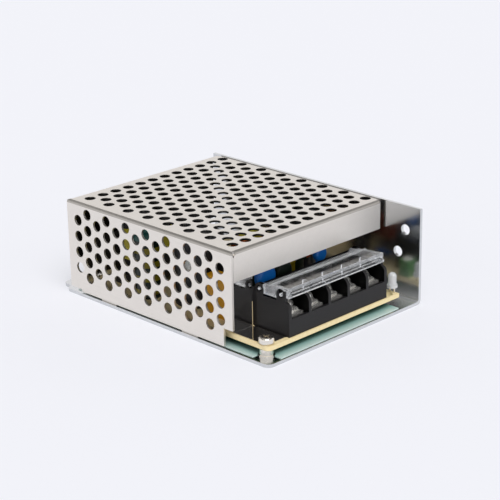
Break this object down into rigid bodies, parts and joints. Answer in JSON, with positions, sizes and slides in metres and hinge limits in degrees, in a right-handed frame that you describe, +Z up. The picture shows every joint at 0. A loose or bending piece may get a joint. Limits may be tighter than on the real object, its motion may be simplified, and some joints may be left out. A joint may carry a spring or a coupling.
{
  "type": "enclosed switching power supply",
  "caption": "Enclosed switching power supply: L-shaped sheet chassis, folded perforated cover, circuit board, and a screw terminal block under a clear hinged lid.",
  "frame": {"origin": "middle of the overall footprint, on the underside of the base plate", "axes": "+Z up from the base plate, +Y from the terminal end to the back, +X to the folded side wall"},
  "size_m": [0.078, 0.11, 0.036],
  "materials": {
    "bright_plated_steel": "mirror-bright zinc plate",
    "cover_steel": "plated, fine satin",
    "screw_steel": "bright nickel plate",
    "spring_steel": "dark oiled",
    "clear_film": "milky clear sheet",
    "board_laminate": "bare laminate with a green underside",
    "shield_sheet": "mirror-bright plated sheet",
    "black_plastic": "moulded, fine grain",
    "clear_plastic": "clear moulding",
    "nickel_plate": "nickel-plated brass",
    "orange_plastic": "moulded box",
    "blue_epoxy": "dipped coating",
    "green_epoxy": "dipped coating",
    "brown_plastic": "moulded",
    "ferrite": "sintered ferrite",
    "coil_wire": "enamelled copper wire",
    "yellow_tape": "polyester tape",
    "black_sleeve": "shrink sleeve",
    "iron_powder": "painted powder core",
    "ceramic_pad": "thin insulating pad",
    "lamp_resin": "clear resin",
    "white_rotor": "moulded",
    "blue_plastic": "moulded",
    "green_plastic": "moulded",
    "teal_sleeve": "shrink sleeve",
    "white_silicone": "cured sealant"
  },
  "bodies": {
    "case": {"chassis": "bright_plated_steel", "cover": "cover_steel", "cover_screws": "screw_steel", "insulating_film": "clear_film", "circuit_board": "board_laminate", "standoffs": "screw_steel", "board_screws": "screw_steel", "lock_washers": "screw_steel", "insulating_sheet": "shield_sheet", "terminal_block": "black_plastic", "contact_plates": "nickel_plate", "trimmer_body": "green_plastic", "status_lamp": "lamp_resin", "status_lamp_leads": "nickel_plate", "film_capacitor": "orange_plastic", "varistor": "blue_epoxy", "thermistor": "green_epoxy", "disc_capacitor": "blue_epoxy", "fuse": "brown_plastic", "choke_core": "ferrite", "choke_coils": "coil_wire", "choke_base": "black_plastic", "bridge_rectifier": "black_plastic", "bulk_capacitor": "black_sleeve", "supply_capacitor": "teal_sleeve", "transformer_bobbin": "black_plastic", "transformer_core": "ferrite", "transformer_winding": "coil_wire", "transformer_tape": "yellow_tape", "output_choke_core": "iron_powder", "output_choke_winding": "coil_wire", "output_capacitors": "black_sleeve", "filter_capacitor": "black_sleeve", "controller_chip": "black_plastic", "optocoupler": "black_plastic", "resistors": "blue_plastic", "diodes": "black_plastic", "switching_transistor": "black_plastic", "output_diode": "black_plastic", "insulator_pads": "ceramic_pad", "clamp_bar": "spring_steel", "clamp_bar_screw": "screw_steel", "silicone_bead": "white_silicone"},
    "terminal_lid": {"terminal_cover": "clear_plastic"},
    "trimmer_adjuster": {"trimmer_rotor": "white_rotor"},
    "clamp_1": {"clamp_washer_1": "nickel_plate"},
    "screw_1": {"terminal_screw_1": "nickel_plate"},
    "clamp_2": {"clamp_washer_2": "nickel_plate"},
    "screw_2": {"terminal_screw_2": "nickel_plate"},
    "clamp_3": {"clamp_washer_3": "nickel_plate"},
    "screw_3": {"terminal_screw_3": "nickel_plate"},
    "clamp_4": {"clamp_washer_4": "nickel_plate"},
    "screw_4": {"terminal_screw_4": "nickel_plate"},
    "clamp_5": {"clamp_washer_5": "nickel_plate"},
    "screw_5": {"terminal_screw_5": "nickel_plate"}
  },
  "joints": [
    {"name": "terminal_lid_hinge", "type": "hinge", "parent": "case", "child": "terminal_lid", "pos_m": [0.00015, -0.0369, 0.0195], "axis": [-1, 0, 0], "range_deg": [0, 38]},
    {"name": "trimmer_turn", "type": "hinge", "parent": "case", "child": "trimmer_adjuster", "pos_m": [0.02817, -0.042, 0.0115], "axis": [0, 0, 1], "range_deg": [-130, 130]},
    {"name": "clamp_1_lift", "type": "slide", "parent": "case", "child": "clamp_1", "axis": [0, 0, 1], "range_m": [0, 0.003]},
    {"name": "screw_1_turn", "type": "hinge", "parent": "clamp_1", "child": "screw_1", "pos_m": [-0.01925, -0.0436, 0.0129], "axis": [0, 0, 1], "range_deg": [0, 1800]},
    {"name": "clamp_2_lift", "type": "slide", "parent": "case", "child": "clamp_2", "axis": [0, 0, 1], "range_m": [0, 0.003]},
    {"name": "screw_2_turn", "type": "hinge", "parent": "clamp_2", "child": "screw_2", "pos_m": [-0.00955, -0.0436, 0.0129], "axis": [0, 0, 1], "range_deg": [0, 1800]},
    {"name": "clamp_3_lift", "type": "slide", "parent": "case", "child": "clamp_3", "axis": [0, 0, 1], "range_m": [0, 0.003]},
    {"name": "screw_3_turn", "type": "hinge", "parent": "clamp_3", "child": "screw_3", "pos_m": [0.00015, -0.0436, 0.0129], "axis": [0, 0, 1], "range_deg": [0, 1800]},
    {"name": "clamp_4_lift", "type": "slide", "parent": "case", "child": "clamp_4", "axis": [0, 0, 1], "range_m": [0, 0.003]},
    {"name": "screw_4_turn", "type": "hinge", "parent": "clamp_4", "child": "screw_4", "pos_m": [0.00985, -0.0436, 0.0129], "axis": [0, 0, 1], "range_deg": [0, 1800]},
    {"name": "clamp_5_lift", "type": "slide", "parent": "case", "child": "clamp_5", "axis": [0, 0, 1], "range_m": [0, 0.003]},
    {"name": "screw_5_turn", "type": "hinge", "parent": "clamp_5", "child": "screw_5", "pos_m": [0.01955, -0.0436, 0.0129], "axis": [0, 0, 1], "range_deg": [0, 1800]}
  ],
  "couplings": [
    {"joint": "screw_1_turn", "follows": "clamp_1_lift", "rad_per_m": 10472},
    {"joint": "screw_2_turn", "follows": "clamp_2_lift", "rad_per_m": 10472},
    {"joint": "screw_3_turn", "follows": "clamp_3_lift", "rad_per_m": 10472},
    {"joint": "screw_4_turn", "follows": "clamp_4_lift", "rad_per_m": 10472},
    {"joint": "screw_5_turn", "follows": "clamp_5_lift", "rad_per_m": 10472}
  ]
}
